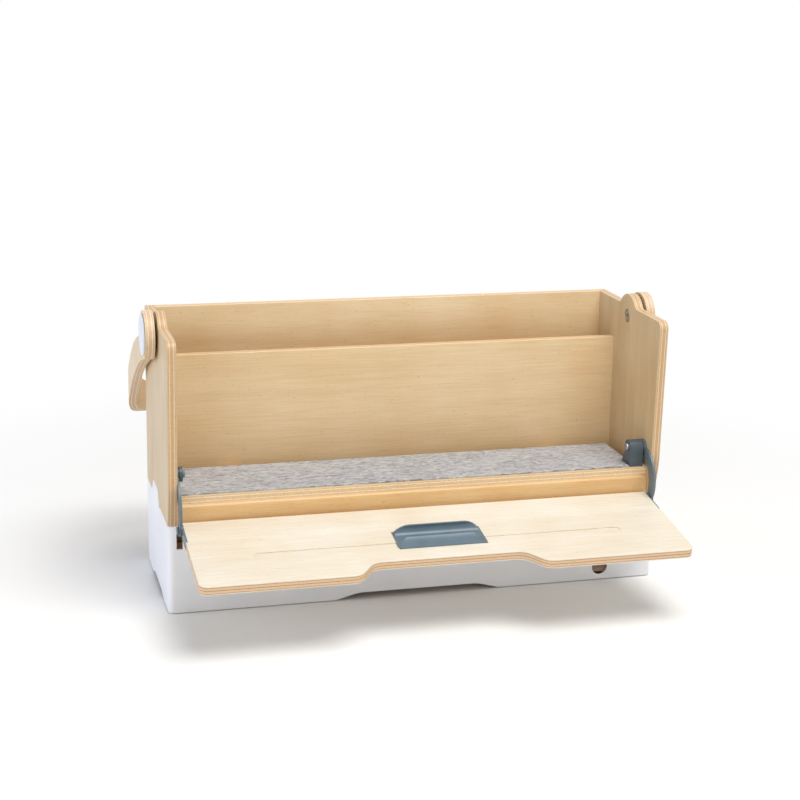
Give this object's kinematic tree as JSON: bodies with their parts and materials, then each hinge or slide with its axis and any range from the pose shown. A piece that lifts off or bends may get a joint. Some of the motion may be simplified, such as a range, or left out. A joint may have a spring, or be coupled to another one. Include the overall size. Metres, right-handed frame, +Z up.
{
  "type": "laptop workstation case",
  "caption": "Plywood and steel carrying case with a fold-down front that holds a laptop on a slope, a felt shelf, a divider and a swinging bent-wood handle.",
  "frame": {"origin": "middle of the base, on the surface that its feet stand on", "axes": "+X to the right, +Y to the back, +Z up; the flap opens towards -Y"},
  "size_m": [0.461, 0.3262, 0.249],
  "materials": {
    "white_steel": "white powder coat on folded sheet steel",
    "birch_plywood": "clear lacquered birch plywood with bare layered edges",
    "dowel_wood": "plain beech dowel",
    "felt": "mottled grey wool felt",
    "blue_grey_metal": "satin blue-grey paint",
    "zinc_steel": "zinc plated",
    "nylon": "moulded nylon",
    "white_plastic": "moulded white plastic",
    "rubber": "moulded rubber"
  },
  "bodies": {
    "case": {"arm_bolt_left": "blue_grey_metal", "arm_bolt_right": "zinc_steel", "back_panel": "birch_plywood", "base_back_plate": "white_steel", "base_feet": "rubber", "base_floor_board": "birch_plywood", "base_screws": "zinc_steel", "base_shell": "white_steel", "bracket_screws": "zinc_steel", "divider": "birch_plywood", "front_board": "birch_plywood", "handle_bolt_left": "zinc_steel", "handle_bolt_right": "zinc_steel", "handle_cap_left": "white_plastic", "handle_cap_right": "white_plastic", "handle_spacers": "nylon", "hinge_arm_left": "blue_grey_metal", "hinge_arm_right": "blue_grey_metal", "hinge_boss": "blue_grey_metal", "hinge_bracket": "blue_grey_metal", "panel_dowels": "dowel_wood", "shelf_board": "birch_plywood", "shelf_felt": "felt", "shelf_rib_left": "birch_plywood", "shelf_rib_right": "birch_plywood", "shelf_screws": "zinc_steel", "side_panel_left": "birch_plywood", "side_panel_right": "birch_plywood"},
    "flap": {"flap_board": "birch_plywood", "laptop_stopper": "blue_grey_metal", "flap_leaf_left": "blue_grey_metal", "flap_leaf_right": "blue_grey_metal", "leaf_screws": "zinc_steel", "flap_pins": "blue_grey_metal"},
    "handle": {"handle_band": "birch_plywood"}
  },
  "joints": [
    {"name": "flap_fold", "type": "hinge", "parent": "case", "child": "flap", "pos_m": [0, -0.079, 0.077], "axis": [-1, 0, 0], "range_deg": [0, 98.67]},
    {"name": "handle_swing", "type": "hinge", "parent": "case", "child": "handle", "pos_m": [0, -0.0065, 0.228], "axis": [1, 0, 0], "range_deg": [-25, 135]}
  ]
}
